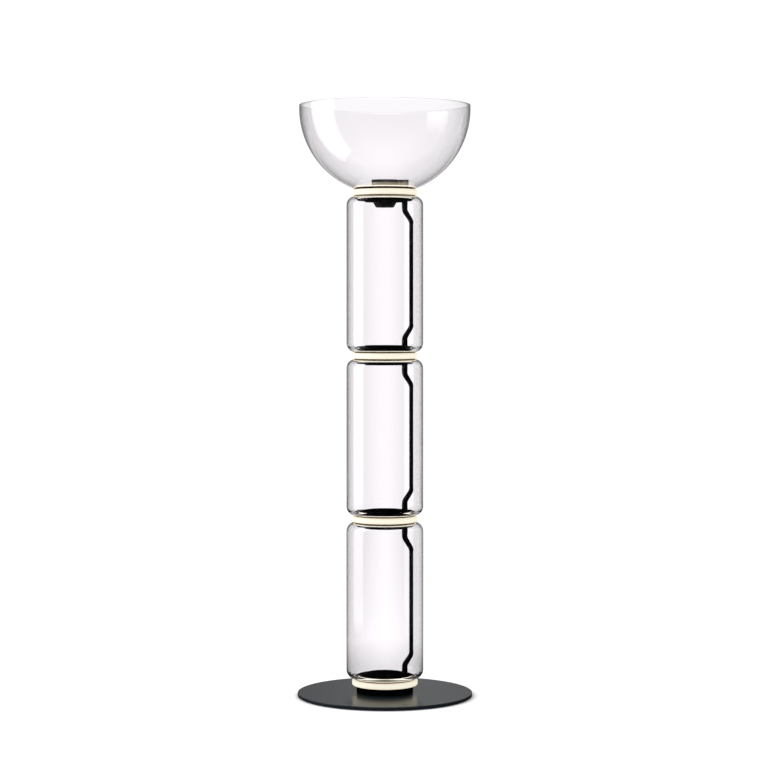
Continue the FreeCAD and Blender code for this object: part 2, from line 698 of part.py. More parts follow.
def link_tube(low_flange, high_flange):
    low_end = low_flange + LINK_PLUG_FLOOR
    high_end = high_flange - LINK_PLUG_FLOOR
    corners = link_corners(low_flange, high_flange, low_end, high_end)
    return swept_bar(corners, LINK_TUBE_RADIUS).cut(swept_bar(corners, WIRE_WAY_RADIUS))


def link_wires(low_flange, high_flange, low_end, high_end):
    corners = link_corners(low_flange, high_flange, low_end, high_end)
    return [swept_bar(corners, WIRE_RADIUS, side * WIRE_SPACING / 2) for side in (-1, 1)]


def link_plug(low_flange, high_flange):
    """The lower plug of a link: a stub on a pin, tapering along the joggle down to the tube."""
    bend_start = low_flange + LINK_STUB / 2
    edges = rounded_edges(link_corners(low_flange, high_flange, bend_start, high_flange), closed=False)
    joggle = edges[:4]
    wide_end = Part.Circle(joggle[0].Vertexes[0].Point, UP, LINK_PLUG_RADIUS)
    narrow_end = Part.Circle(joggle[-1].Vertexes[-1].Point, UP, LINK_TUBE_RADIUS + LINK_PLUG_LIP)
    taper = Part.Wire(joggle).makePipeShell(
        [Part.Wire(wide_end.toShape()), Part.Wire(narrow_end.toShape())], True, False)
    stub = round_bar(LINK_PLUG_RADIUS, low_flange, bend_start, LINK_FOOT_RADIUS)
    pin = round_bar(LINK_PIN_RADIUS, low_flange - LINK_PIN_LENGTH, low_flange, LINK_FOOT_RADIUS)
    plug = stub.fuse([taper, pin])
    plug.rotate(ORIGIN, UP, LINK_TURN)
    tube_floor = low_flange + LINK_PLUG_FLOOR
    tube_seat = swept_bar(
        link_corners(low_flange, high_flange, tube_floor, high_flange), LINK_TUBE_RADIUS + RUNNING_FIT)
    return plug.cut([tube_seat, wire_way(low_flange - LINK_PIN_LENGTH, tube_floor)])


def link_plugs(low_flange, high_flange):
    """Both plugs of a link: the upper one is the lower one mirrored about the middle of the link."""
    lower = link_plug(low_flange, high_flange)
    middle = FreeCAD.Vector(0, 0, (low_flange + high_flange) / 2)
    return Part.makeCompound([lower, lower.mirror(middle, UP)])


# Assembly

def base_pieces():
    return {
        "base_plate": base_plate(),
        "floor_glides": floor_glides(),
        "base_hub": base_hub(),
        "base_screws": base_screws(),
        "cable_gland": cable_gland(),
        "driver_board": driver_board(),
    }


def joint_pieces(on_hub, under_bowl):
    """The pieces of one joint: flanged on both sides, unless it stands on the hub or carries the bowl."""
    sides = {
        "collar": glass_collar(),
        "seal": mouth_seal(BEAD_TOP),
        "flange": joint_flange(stud_bore=under_bowl),
    }
    flange_screws = screws(HALF_RING - SCREW_BITE, SCREW_HEAD_SEAT)
    pieces = {
        "core": joint_core(carries_clamp=under_bowl),
        "led_strip": led_strip(),
        "diffuser_ring": diffuser_ring(),
    }
    joint_screws = []
    if under_bowl:
        pieces["top_seal"] = mouth_seal(BOWL_BEAD_TOP)
    else:
        pieces.update({f"top_{side}": shape for side, shape in sides.items()})
        joint_screws += flange_screws
    if on_hub:
        joint_screws += screws(SCREW_BITE - HALF_RING, -HALF_RING - HUB_ROOF)
    else:
        pieces.update({f"bottom_{side}": flipped(shape) for side, shape in sides.items()})
        joint_screws += [flipped(screw) for screw in flange_screws]
    pieces["screws"] = Part.makeCompound(joint_screws)
    return pieces


def clamp_pieces():
    return {
        "bowl_cover": bowl_cover(),
        "uplight_board": uplight_board(),
        "connector_block": connector_block(),
        "connector_lid": connector_lid(),
        "clamp_sleeve": clamp_sleeve(),
        "clamp_cap": clamp_cap(),
        "clamp_stud": clamp_stud(),
        "clamp_knob": clamp_knob(),
    }


def glass_and_link_pieces():
    pieces = {}
    wires = []
    last = len(CYLINDER_NAMES) - 1
    for n, name in enumerate(CYLINDER_NAMES):
        low, high = JOINT_HEIGHTS[n], JOINT_HEIGHTS[n + 1]
        low_flange, high_flange = low + FLANGE_FACE, high - FLANGE_FACE
        wires_low = low if n > 0 else PLATE_TOP + BOARD_THICKNESS
        wires_high = high if n < last else high + HALF_RING
        pieces[f"{name}_cylinder"] = raised(glass_cylinder(), low + HALF_RING + SEAL_LIP)
        pieces[f"{name}_link_tube"] = link_tube(low_flange, high_flange)
        pieces[f"{name}_link_plugs"] = link_plugs(low_flange, high_flange)
        wires += link_wires(low_flange, high_flange, wires_low, wires_high)
    pieces["link_wires"] = Part.makeCompound(wires)
    pieces["bowl"] = raised(glass_bowl(), JOINT_HEIGHTS[-1] + HALF_RING + SEAL_LIP)
    return pieces


def main():
    nodes = base_pieces()
    for name, height in zip(JOINT_NAMES, JOINT_HEIGHTS):
        pieces = joint_pieces(on_hub=name == JOINT_NAMES[0], under_bowl=name == JOINT_NAMES[-1])
        nodes.update({f"{name}_{piece}": raised(shape, height) for piece, shape in pieces.items()})
    nodes.update({name: raised(shape, JOINT_HEIGHTS[-1]) for name, shape in clamp_pieces().items()})
    nodes.update(glass_and_link_pieces())

    os.makedirs("parts", exist_ok=True)
    for name, shape in nodes.items():
        if not shape.isValid():
            raise ValueError(f"{name} isn't valid")
        shape.exportStep(f"parts/{name}.step")
        print(f"{name}: {len(shape.Solids)} solids, {shape.Volume / 1000:.1f} cm3")


main()
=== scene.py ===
"""Looks of the glass cylinder floor lamp: glass, finishes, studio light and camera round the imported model.

Metres, in the model's frame: +Z up, origin on the floor under the base, the viewer of the photograph on -Y.
"""

import json
import math

import bpy
from mathutils import Matrix, Vector


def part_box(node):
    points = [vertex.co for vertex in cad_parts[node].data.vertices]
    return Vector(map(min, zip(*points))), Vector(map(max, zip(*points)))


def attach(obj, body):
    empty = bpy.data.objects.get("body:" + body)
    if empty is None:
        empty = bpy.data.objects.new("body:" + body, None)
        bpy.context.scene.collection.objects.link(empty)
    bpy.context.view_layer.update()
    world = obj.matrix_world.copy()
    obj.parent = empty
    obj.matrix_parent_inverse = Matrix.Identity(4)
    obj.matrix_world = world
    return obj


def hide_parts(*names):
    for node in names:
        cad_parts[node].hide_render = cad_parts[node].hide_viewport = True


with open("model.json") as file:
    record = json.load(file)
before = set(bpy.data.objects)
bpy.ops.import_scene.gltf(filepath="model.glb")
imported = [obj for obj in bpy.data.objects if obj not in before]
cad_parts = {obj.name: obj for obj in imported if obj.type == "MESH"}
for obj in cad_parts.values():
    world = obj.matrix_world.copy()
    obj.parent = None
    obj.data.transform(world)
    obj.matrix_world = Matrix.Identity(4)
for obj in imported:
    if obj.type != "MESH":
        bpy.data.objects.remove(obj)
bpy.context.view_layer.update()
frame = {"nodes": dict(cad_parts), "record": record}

MM = 0.001

# Camera, from the photograph: a level view with the horizon above the middle of the picture

IMAGE_SIDE = 768
FOCAL_PIXELS = 2222
AXIS_PIXEL = 384.85
HORIZON_PIXEL = 303.4
SENSOR_WIDTH_MM = 36
CAMERA_PLACE = (0, -7.24, 1.277)

# Glass, as blown and fire-polished

CYLINDERS = ("lower", "middle", "upper")
GLASS_WALL = 4.5 * MM
SHOULDER = 29 * MM
MOUTH_RADIUS = 93 * MM
LIP_ROUND = 2 * MM
# blown glass gathers in a cylinder's lower inner corner: where it starts, and how softly it bends
GATHER_HEIGHT = 21.5 * MM
GATHER_RADIUS = 106 * MM
GATHER_UPPER_BEND = 20 * MM
GATHER_LOWER_BEND = 14 * MM
BOWL_FOOT_RADIUS = 96 * MM
BOWL_ARC_STEPS = 56
RIM_STEPS = 10
GLASS_STEPS = 192
CORNER_STEPS = 14
CREASE_ANGLE = math.radians(35)

# Power links

LINK_TURN = math.radians(-20)
LINK_FOOT_RADIUS = 68.5 * MM
LINK_RUN_RADIUS = 90.6 * MM
LINK_STUB = 36 * MM
LINK_JOGGLE = 34 * MM
LINK_BEND = 24 * MM
LINK_TUBE_RADIUS = 6.5 * MM
LINK_TUBE_WALL = 3.3 * MM
LINK_PLUG_FLOOR = 4 * MM
LINK_SIDES = 40

# Screws and glides

JOINTS = ("base", "lower", "upper", "bowl")
SCREW_COUNT = 3
SCREW_BITE = 6.5 * MM
HEAD_SIDES = 40
SHANK_SIDES = 24
HEX_SIDES = 6
FLANGE_SCREW_CIRCLE = 55 * MM
FLANGE_SCREW_START = LINK_TURN + math.radians(60)
FLANGE_SCREW = {
    "Head Radius": 4.2 * MM,
    "Head Height": 3 * MM,
    "Shank Radius": 2.5 * MM,
    "Socket Radius": 2 * MM,
    "Socket Depth": 1.6 * MM,
}
BASE_SCREW = {
    "Head Radius": 6 * MM,
    "Head Height": 3.5 * MM,
    "Shank Radius": 3 * MM,
    "Socket Radius": 2.6 * MM,
    "Socket Depth": 2 * MM,
}
SCREW_EDGES = [("BEVEL", {"width": 0.35 * MM, "segments": 2, "angle_limit": math.radians(50)})]
GLIDE_COUNT = 6
GLIDE_RADIUS = 15 * MM
GLIDE_SIDES = 64
GLIDE_EDGES = [("BEVEL", {"width": 0.5 * MM, "segments": 3, "angle_limit": math.radians(50)})]

# Backdrop, where 1 is white. A soft brighter patch behind the lamp shows through the glass: it widens behind
# the bowl and ends inside it. Its sizes, and those of the room, are parts of a ray's direction of length 1

BACKDROP = 1.045
BACKDROP_GLOW = 0.115
GLOW_REACH = 0.025
BOWL_GLOW_REACH = 0.045
GLOW_WIDENS = (0.045, 0.06)
GLOW_ENDS = (0.055, 0.085)

# Room: its light on plain surfaces, and what mirrors show of it: the floor far off, the dark room in front
# of the lamp, and the grey wall behind the lamp with a brighter patch in its middle

ROOM_FILL = 0.62
ROOM_DARK = 0.015
ROOM_ABOVE = 0.06
HORIZON = (0.04, 0.1)
FAR_FLOOR = 0.7
FAR_FLOOR_ENDS = (-0.2, -0.05)
WALL_FOOT = 0.28
WALL_TOP = 0.56
WALL_RISES = (0.15, 0.35)
WALL_STARTS = (0.4, 1.0)
PATCH_MIDDLE = 0.014
PATCH_REACH = 0.055
PATCH_SHARE = 1.2
BESIDE_PATCH_SHARE = 0.62

# Floor: its colour, and the painted shade, a darker grey, that mirrors show on it. Then the light added to
# its own: in plain sight, and through the glass near the lamp, beside that, far off, and behind the softbox,
# which leaves it unlit

FLOOR_REACH = 6.0
FLOOR_COLOUR = "#E8E8E8"
FLOOR_MIRROR_SHADE_COLOUR = "#3A3A3A"
DIM_BEFORE = (-0.3, -0.6)
DIM_BEHIND = (0.9, 1.3)
DIM_CLOSE = (1.8, 1.5)
CONTACT_SHADOW = (0.28, 0.302)
FLOOR_LIFT = 0.56
FLOOR_LIFT_NEAR = 0.19
FLOOR_LIFT_BESIDE = 0.09
FLOOR_LIFT_FAR = 0.505
FLOOR_LIFT_UNLIT = 0.8
NEAR_MIDDLE = 0.022
NEAR_CORE = 0.03
NEAR_REACH = 0.16
NEAR_ENDS = (0.6, 1.35)
UNLIT_ENDS = (-1.45, -1.25)
FLOOR_GLOW = 0.2
FLOOR_GLOW_REACH = 0.18
BEHIND_LAMP = (0.3, 0.75)

# Softbox: a fade is an axis across the light, where it starts and is full, and the light left at its start

SOFTBOX_MIDDLE = (-1.45, -0.11, 1.43)
SOFTBOX_AIM = (0, -0.11, 1.43)
SOFTBOX_WIDTH = 1.2
SOFTBOX_HEIGHT = 2.8
SOFTBOX_RADIANCE = 2.6
SOFTBOX_FADES = [
    ("X", 0.0, 0.06, 0.0),
    ("X", 0.0, 0.4, 0.6),
    ("X", 1.0, 0.84, 0.0),
    ("Y", 0.0, 0.3, 0.62),
    ("Y", 1.0, 0.66, 0.0),
]


# Small helpers

def linear(code):
    """An sRGB hex colour as linear red, green, blue and alpha."""
    channels = [int(code[n:n + 2], 16) / 255 for n in (1, 3, 5)]
    return (*[c / 12.92 if c <= 0.04045 else ((c + 0.055) / 1.055) ** 2.4 for c in channels], 1.0)


def per_feature(millimetres):
    """The scale of a pattern whose features are this wide."""
    return 1 / (millimetres * MM)


def add_node(tree, kind, inputs=None, **settings):
    """Adds a node with its settings. An input is a value, or the socket or node that it is linked from."""
    node = tree.nodes.new(kind)
    for name, value in settings.items():
        setattr(node, name, value)
    for name, value in (inputs or {}).items():
        if isinstance(value, bpy.types.Node):
            value = value.outputs[0]
        if isinstance(value, bpy.types.NodeSocket):
            tree.links.new(value, node.inputs[name])
        else:
            node.inputs[name].default_value = value
    return node


def new_finish(name, inputs):
    """A material with one Principled shader. Returns it, its tree and the shader."""
    material = bpy.data.materials.new(name)
    material.use_nodes = True
    tree = material.node_tree
    shader = tree.nodes["Principled BSDF"]
    for socket, value in inputs.items():
        shader.inputs[socket].default_value = value
    return material, tree, shader


# Finishes

def blown_glass():
    """Clear blown borosilicate: colourless face on, greyer where the wall is edge on, with faint waves."""
    material, tree, shader = new_finish("blown_borosilicate_glass", {
        "Base Color": linear("#FFFDFF"),
        "Roughness": 0.0,
        "IOR": 1.47,
        "Transmission Weight": 1.0,
    })
    coords = add_node(tree, "ShaderNodeTexCoord").outputs["Object"]
    waves = add_node(tree, "ShaderNodeTexNoise", {
        "Vector": coords, "Scale": per_feature(70), "Detail": 1.0})
    bump = add_node(tree, "ShaderNodeBump", {
        "Height": waves.outputs["Fac"], "Strength": 1.0, "Distance": 0.05 * MM})
    tree.links.new(bump.outputs["Normal"], shader.inputs["Normal"])
    absorption = add_node(tree, "ShaderNodeVolumeAbsorption", {"Color": linear("#9A98A2"), "Density": 1.5})
    tree.links.new(absorption.outputs["Volume"], tree.nodes["Material Output"].inputs["Volume"])
    return material


def lit_opal(name, glow, strength):
    """Opal acrylic over LEDs: a soft cream glow, strongest where the wall faces out, with a satin skin."""
    material, tree, shader = new_finish(name, {
        "Base Color": linear("#979590"),
        "Roughness": 0.42,
        "IOR": 1.49,
        "Emission Strength": strength,
    })
    coords = add_node(tree, "ShaderNodeTexCoord")
    facing = add_node(tree, "ShaderNodeSeparateXYZ", {"Vector": coords.outputs["Normal"]})
    flat_share = add_node(tree, "ShaderNodeMath", {0: facing.outputs["Z"]}, operation="ABSOLUTE")
    cloud = add_node(tree, "ShaderNodeTexNoise", {
        "Vector": coords.outputs["Object"], "Scale": per_feature(16), "Detail": 2.0})
    uneven = add_node(tree, "ShaderNodeMapRange", {
        "Value": cloud.outputs["Fac"], "To Min": -0.06, "To Max": 0.06})
    share = add_node(tree, "ShaderNodeMath", {
        0: flat_share.outputs["Value"], 1: uneven.outputs["Result"]}, operation="ADD", use_clamp=True)
    light = add_node(tree, "ShaderNodeMix", {
        "Factor": share.outputs["Value"], 6: linear(glow), 7: linear("#FBEBC9")}, data_type="RGBA")
    tree.links.new(light.outputs[2], shader.inputs["Emission Color"])
    return material


def satin_black(name, colour, roughness, grain_mm, grain_depth_mm, inputs=None):
    """A black skin with a fine grain: it breaks highlights into a soft sheen."""
    material, tree, shader = new_finish(name, {"Base Color": linear(colour), **(inputs or {})})
    coords = add_node(tree, "ShaderNodeTexCoord").outputs["Object"]
    grain = add_node(tree, "ShaderNodeTexNoise", {
        "Vector": coords, "Scale": per_feature(grain_mm), "Detail": 3.0, "Roughness": 0.6})
    sheen = add_node(tree, "ShaderNodeMapRange", {
        "Value": grain.outputs["Fac"], "To Min": roughness - 0.07, "To Max": roughness + 0.07})
    tree.links.new(sheen.outputs["Result"], shader.inputs["Roughness"])
    bump = add_node(tree, "ShaderNodeBump", {
        "Height": grain.outputs["Fac"], "Strength": 1.0, "Distance": grain_depth_mm * MM})
    tree.links.new(bump.outputs["Normal"], shader.inputs["Normal"])
    return material


def turned_aluminium():
    """Plain aluminium, turned and blasted: dull and warm, with faint tool rings about the axis."""
    material, tree, shader = new_finish("turned_aluminium", {
        "Base Color": linear("#ADA69C"), "Metallic": 1.0, "Roughness": 0.58})
    coords = add_node(tree, "ShaderNodeTexCoord").outputs["Object"]
    # at scale 1 the rings lie 2 pi / 20 apart, so here 5 mm: the real feed marks of 0.1 mm would not show
    rings = add_node(tree, "ShaderNodeTexWave", {
        "Vector": coords, "Scale": per_feature(0.8) / 20}, wave_type="RINGS", rings_direction="Z")
    bump = add_node(tree, "ShaderNodeBump", {
        "Height": rings.outputs["Fac"], "Strength": 0.4, "Distance": 0.02 * MM})
    tree.links.new(bump.outputs["Normal"], shader.inputs["Normal"])
    return material


def circuit_board():
    """A board under white solder mask: matt white, with the copper tracks a shade darker."""
    material, tree, shader = new_finish("white_solder_mask", {"Roughness": 0.45})
    coords = add_node(tree, "ShaderNodeTexCoord").outputs["Object"]
    tracks = add_node(tree, "ShaderNodeTexBrick", {
        "Vector": coords,
        "Scale": per_feature(6),
        "Color1": linear("#E9EAE5"),
        "Color2": linear("#E3E5DF"),
        "Mortar": linear("#CDD2C6"),
        "Mortar Size": 0.06,
    })
    tree.links.new(tracks.outputs["Color"], shader.inputs["Base Color"])
    return material


def wire_insulation():
    """Soft red PVC over copper strands: a waxy red with faint handling marks."""
    material, tree, shader = new_finish("red_pvc_insulation", {"Base Color": linear("#8E1B17")})
    coords = add_node(tree, "ShaderNodeTexCoord").outputs["Object"]
    marks = add_node(tree, "ShaderNodeTexNoise", {"Vector": coords, "Scale": per_feature(5), "Detail": 2.0})
    gloss = add_node(tree, "ShaderNodeMapRange", {
        "Value": marks.outputs["Fac"], "To Min": 0.36, "To Max": 0.52})
    tree.links.new(gloss.outputs["Result"], shader.inputs["Roughness"])
    return material


finishes = {
    "clear_glass": blown_glass(),
    "opal_acrylic": lit_opal("opal_acrylic_ring", "#FFFAE4", 0.81),
    # sprayed flat: hardly any highlight
    "black_painted_aluminium": satin_black(
        "flat_black_paint_on_aluminium", "#050506", roughness=0.8, grain_mm=0.9, grain_depth_mm=0.012,
        inputs={"Specular IOR Level": 0.0}),
    # baked powder: dark slate with a wide soft sheen
    "graphite_painted_steel": satin_black(
        "graphite_powder_coat_on_steel", "#1E262D", roughness=0.25, grain_mm=0.7, grain_depth_mm=0.01),
    "plain_aluminium": turned_aluminium(),
    # pressed rubber: dull black
    "black_rubber": satin_black(
        "black_epdm_rubber", "#0A0A0A", roughness=0.72, grain_mm=0.5, grain_depth_mm=0.02,
        inputs={"Specular IOR Level": 0.2}),
    "circuit_board": circuit_board(),
    "wire_insulation": wire_insulation(),
    # steel blackened in hot salts: a dark metal sheen
    "black_oxide_steel": satin_black(
        "black_oxide_steel", "#2A2A2D", roughness=0.42, grain_mm=0.4, grain_depth_mm=0.006,
        inputs={"Metallic": 1.0}),
    # moulded nylon: deep black with a fine grain
    "black_moulded_plastic": satin_black(
        "black_moulded_nylon", "#070708", roughness=0.44, grain_mm=0.6, grain_depth_mm=0.015,
        inputs={"Specular IOR Level": 0.2}),
}
collar_opal = lit_opal("opal_acrylic_collar", "#FFFAF0", 1.25)


def dress_frame():
    """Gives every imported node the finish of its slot."""
    for subpart in frame["record"]["subparts"]:
        name = subpart["node"]
        finish = finishes[subpart["material_slot"]]
        if "collar" in name or name == "bowl_cover":
            finish = collar_opal
        for slot in frame["nodes"][name].material_slots:
            slot.material = finish


# Shapes grown by node trees

def new_tree(name, sockets):
    """A geometry tree with named inputs. Returns it and the sockets of its inputs."""
    tree = bpy.data.node_groups.new(name, "GeometryNodeTree")
    tree.interface.new_socket("Geometry", in_out="INPUT", socket_type="NodeSocketGeometry")
    tree.interface.new_socket("Geometry", in_out="OUTPUT", socket_type="NodeSocketGeometry")
    for socket, kind in sockets.items():
        tree.interface.new_socket(socket, in_out="INPUT", socket_type=f"NodeSocket{kind}")
    return tree, add_node(tree, "NodeGroupInput").outputs


def end_tree(tree, geometry, finish):
    """Ends a tree: plain geometry, its finish, and edges that are sharp only past the crease angle."""
    realized = add_node(tree, "GeometryNodeRealizeInstances", {"Geometry": geometry})
    smooth = add_node(tree, "GeometryNodeSetShadeSmooth", {"Geometry": realized.outputs["Geometry"]})
    angle = add_node(tree, "GeometryNodeInputMeshEdgeAngle")
    sharp = add_node(tree, "FunctionNodeCompare", {
        0: angle.outputs["Unsigned Angle"], 1: CREASE_ANGLE}, operation="GREATER_THAN")
    creased = add_node(tree, "GeometryNodeSetShadeSmooth", {
        "Geometry": smooth.outputs["Geometry"],
        "Selection": sharp.outputs["Result"],
        "Shade Smooth": False,
    }, domain="EDGE")
    dressed = add_node(tree, "GeometryNodeSetMaterial", {
        "Geometry": creased.outputs["Geometry"], "Material": finish})
    add_node(tree, "NodeGroupOutput", {"Geometry": dressed.outputs["Geometry"]})


def turned_wall_tree():
    """Turns a closed profile (radius, height), with its bends rounded, about the axis of the lamp."""
    tree, given = new_tree("turned_wall", {
        "Reach": "Float", "Steps": "Int", "Corner Steps": "Int", "Finish": "Material"})
    bend = add_node(tree, "GeometryNodeInputRadius")
    rounded = add_node(tree, "GeometryNodeFilletCurve", {
        "Curve": given["Geometry"],
        "Count": given["Corner Steps"],
        "Radius": bend.outputs["Radius"],
    }, mode="POLY")
    back = add_node(tree, "ShaderNodeMath", {0: given["Reach"], 1: -1.0}, operation="MULTIPLY")
    offset = add_node(tree, "ShaderNodeCombineXYZ", {"X": back.outputs["Value"]})
    profile = add_node(tree, "GeometryNodeTransform", {
        "Geometry": rounded.outputs["Curve"], "Translation": offset.outputs["Vector"], "Scale": (1, -1, 1)})
    circle = add_node(tree, "GeometryNodeCurvePrimitiveCircle", {
        "Resolution": given["Steps"], "Radius": given["Reach"]})
    wall = add_node(tree, "GeometryNodeCurveToMesh", {
        "Curve": circle.outputs["Curve"], "Profile Curve": profile.outputs["Geometry"]})
    # the mirrored profile turns the wall inside out
    outward = add_node(tree, "GeometryNodeFlipFaces", {"Mesh": wall.outputs["Mesh"]})
    end_tree(tree, outward.outputs["Mesh"], given["Finish"])
    return tree


def bent_tube_tree():
    """Runs a round section along a path, with its bends rounded."""
    tree, given = new_tree("bent_tube", {
        "Tube Radius": "Float", "Sides": "Int", "Corner Steps": "Int", "Finish": "Material"})
    bend = add_node(tree, "GeometryNodeInputRadius")
    path = add_node(tree, "GeometryNodeFilletCurve", {
        "Curve": given["Geometry"],
        "Count": given["Corner Steps"],
        "Radius": bend.outputs["Radius"],
    }, mode="POLY")
    even = add_node(tree, "GeometryNodeSetCurveRadius", {"Curve": path.outputs["Curve"], "Radius": 1.0})
    section = add_node(tree, "GeometryNodeCurvePrimitiveCircle", {
        "Resolution": given["Sides"], "Radius": given["Tube Radius"]})
    tube = add_node(tree, "GeometryNodeCurveToMesh", {
        "Curve": even.outputs["Curve"], "Profile Curve": section.outputs["Curve"]})
    end_tree(tree, tube.outputs["Mesh"], given["Finish"])
    return tree


def screw_tree():
    """A socket screw on each point: its head along the point's way, its shank as long as the point says."""
    tree, given = new_tree("socket_screws", {
        "Head Radius": "Float", "Head Height": "Float", "Shank Radius": "Float",
        "Socket Radius": "Float", "Socket Depth": "Float", "Finish": "Material"})
    half_head = add_node(tree, "ShaderNodeMath", {0: given["Head Height"], 1: 0.5}, operation="MULTIPLY")
    head_place = add_node(tree, "ShaderNodeCombineXYZ", {"Z": half_head.outputs["Value"]})
    blank = add_node(tree, "GeometryNodeMeshCylinder", {
        "Vertices": HEAD_SIDES, "Radius": given["Head Radius"], "Depth": given["Head Height"]})
    raised_blank = add_node(tree, "GeometryNodeTransform", {
        "Geometry": blank.outputs["Mesh"], "Translation": head_place.outputs["Vector"]})
    twice_depth = add_node(tree, "ShaderNodeMath", {0: given["Socket Depth"], 1: 2.0}, operation="MULTIPLY")
    socket_place = add_node(tree, "ShaderNodeCombineXYZ", {"Z": given["Head Height"]})
    socket = add_node(tree, "GeometryNodeMeshCylinder", {
        "Vertices": HEX_SIDES, "Radius": given["Socket Radius"], "Depth": twice_depth.outputs["Value"]})
    raised_socket = add_node(tree, "GeometryNodeTransform", {
        "Geometry": socket.outputs["Mesh"], "Translation": socket_place.outputs["Vector"]})
    head = add_node(tree, "GeometryNodeMeshBoolean", {
        "Mesh 1": raised_blank.outputs["Geometry"], "Mesh 2": raised_socket.outputs["Geometry"]},
        operation="DIFFERENCE", solver="EXACT")
    # a shank one metre long below the head, shortened to its length on each point
    shank = add_node(tree, "GeometryNodeMeshCylinder", {
        "Vertices": SHANK_SIDES, "Radius": given["Shank Radius"], "Depth": 1.0})
    hung_shank = add_node(tree, "GeometryNodeTransform", {
        "Geometry": shank.outputs["Mesh"], "Translation": (0, 0, -0.5)})
    way = add_node(tree, "GeometryNodeInputNamedAttribute", {"Name": "way"}, data_type="FLOAT_VECTOR")
    length = add_node(tree, "GeometryNodeInputNamedAttribute", {"Name": "shank"}, data_type="FLOAT")
    upright = add_node(tree, "FunctionNodeAlignRotationToVector", {
        "Vector": way.outputs["Attribute"]}, axis="Z")
    turn = add_node(tree, "FunctionNodeRandomValue", {
        "Min": (0, 0, 0), "Max": (0, 0, math.pi / 3), "Seed": 7}, data_type="FLOAT_VECTOR")
    turned = add_node(tree, "FunctionNodeRotateRotation", {
        "Rotation": upright.outputs["Rotation"],
        "Rotate By": turn.outputs["Value"],
    }, rotation_space="LOCAL")
    shortened = add_node(tree, "ShaderNodeCombineXYZ", {
        "X": 1.0, "Y": 1.0, "Z": length.outputs["Attribute"]})
    heads = add_node(tree, "GeometryNodeInstanceOnPoints", {
        "Points": given["Geometry"],
        "Instance": head.outputs["Mesh"],
        "Rotation": turned.outputs["Rotation"],
    })
    shanks = add_node(tree, "GeometryNodeInstanceOnPoints", {
        "Points": given["Geometry"],
        "Instance": hung_shank.outputs["Geometry"],
        "Rotation": upright.outputs["Rotation"],
        "Scale": shortened.outputs["Vector"],
    })
    screws = add_node(tree, "GeometryNodeMeshBoolean", operation="UNION", solver="EXACT")
    tree.links.new(heads.outputs["Instances"], screws.inputs["Mesh 2"])
    tree.links.new(shanks.outputs["Instances"], screws.inputs["Mesh 2"])
    end_tree(tree, screws.outputs["Mesh"], given["Finish"])
    return tree


def glide_tree():
    """A round glide on each point."""
    tree, given = new_tree("floor_glides", {
        "Glide Radius": "Float", "Thickness": "Float", "Finish": "Material"})
    disc = add_node(tree, "GeometryNodeMeshCylinder", {
        "Vertices": GLIDE_SIDES, "Radius": given["Glide Radius"], "Depth": given["Thickness"]})
    spread = add_node(tree, "GeometryNodeInstanceOnPoints", {
        "Points": given["Geometry"], "Instance": disc.outputs["Mesh"]})
    end_tree(tree, spread.outputs["Instances"], given["Finish"])
    return tree


def grow(name, start, tree, values, finishing=()):
    """Runs a tree, and any finishing modifiers, on a start shape and keeps the result as a plain mesh."""
    seed = bpy.data.objects.new(f"{name}_start", start)
    bpy.context.scene.collection.objects.link(seed)
    modifier = seed.modifiers.new(tree.name, "NODES")
    modifier.node_group = tree
    for socket in tree.interface.items_tree:
        if socket.name in values:
            modifier[socket.identifier] = values[socket.name]
    for kind, settings in finishing:
        extra = seed.modifiers.new(kind, kind)
        for setting, value in settings.items():
            setattr(extra, setting, value)
    depsgraph = bpy.context.evaluated_depsgraph_get()
    mesh = bpy.data.meshes.new_from_object(seed.evaluated_get(depsgraph), depsgraph=depsgraph)
    bpy.data.objects.remove(seed)
    piece = bpy.data.objects.new(name, mesh)
    bpy.context.scene.collection.objects.link(piece)
    return piece


def settle(piece, body, slot, *nodes):
    """Lets a piece stand for its nodes."""
    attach(piece, body)
    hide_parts(*nodes)


def outline(name, corners, closed):
    """A polyline through corners (place, bend): each point's radius holds its bend."""
    curve = bpy.data.curves.new(name, "CURVE")
    curve.dimensions = "3D"
    line = curve.splines.new("POLY")
    line.points.add(len(corners) - 1)
    line.use_cyclic_u = closed
    for point, (place, bend) in zip(line.points, corners):
        point.co = (*place, 1)
        point.radius = bend
    return curve


def scattered(name, places, ways=(), shanks=()):
    """Loose points for a tree to put pieces on, with a direction and a shank length each for screws."""
    mesh = bpy.data.meshes.new(name)
    mesh.from_pydata(places, [], [])
    if ways:
        way = mesh.attributes.new("way", "FLOAT_VECTOR", "POINT")
        way.data.foreach_set("vector", [number for direction in ways for number in direction])
        shank = mesh.attributes.new("shank", "FLOAT", "POINT")
        shank.data.foreach_set("value", shanks)
    return mesh


def on_circle(radius, angle, height):
    """A point on a circle about the axis of the lamp."""
    return (radius * math.cos(angle), radius * math.sin(angle), height)


# Glass

def cylinder_profile(low, high):
    """The closed wall of a cylinder: straight sides, round shoulders, a fire-polished lip at each mouth."""
    outer = high.x
    inner = outer - GLASS_WALL
    foot, top = low.z, high.z
    inner_bend = SHOULDER - GLASS_WALL
    return [
        ((MOUTH_RADIUS, foot, 0), LIP_ROUND),
        ((outer, foot, 0), SHOULDER),
        ((outer, top, 0), SHOULDER),
        ((MOUTH_RADIUS, top, 0), LIP_ROUND),
        ((MOUTH_RADIUS, top - GLASS_WALL, 0), LIP_ROUND),
        ((inner, top - GLASS_WALL, 0), inner_bend),
        ((inner, foot + GATHER_HEIGHT, 0), GATHER_UPPER_BEND),
        ((GATHER_RADIUS, foot + GLASS_WALL, 0), GATHER_LOWER_BEND),
        ((MOUTH_RADIUS, foot + GLASS_WALL, 0), LIP_ROUND),
    ]


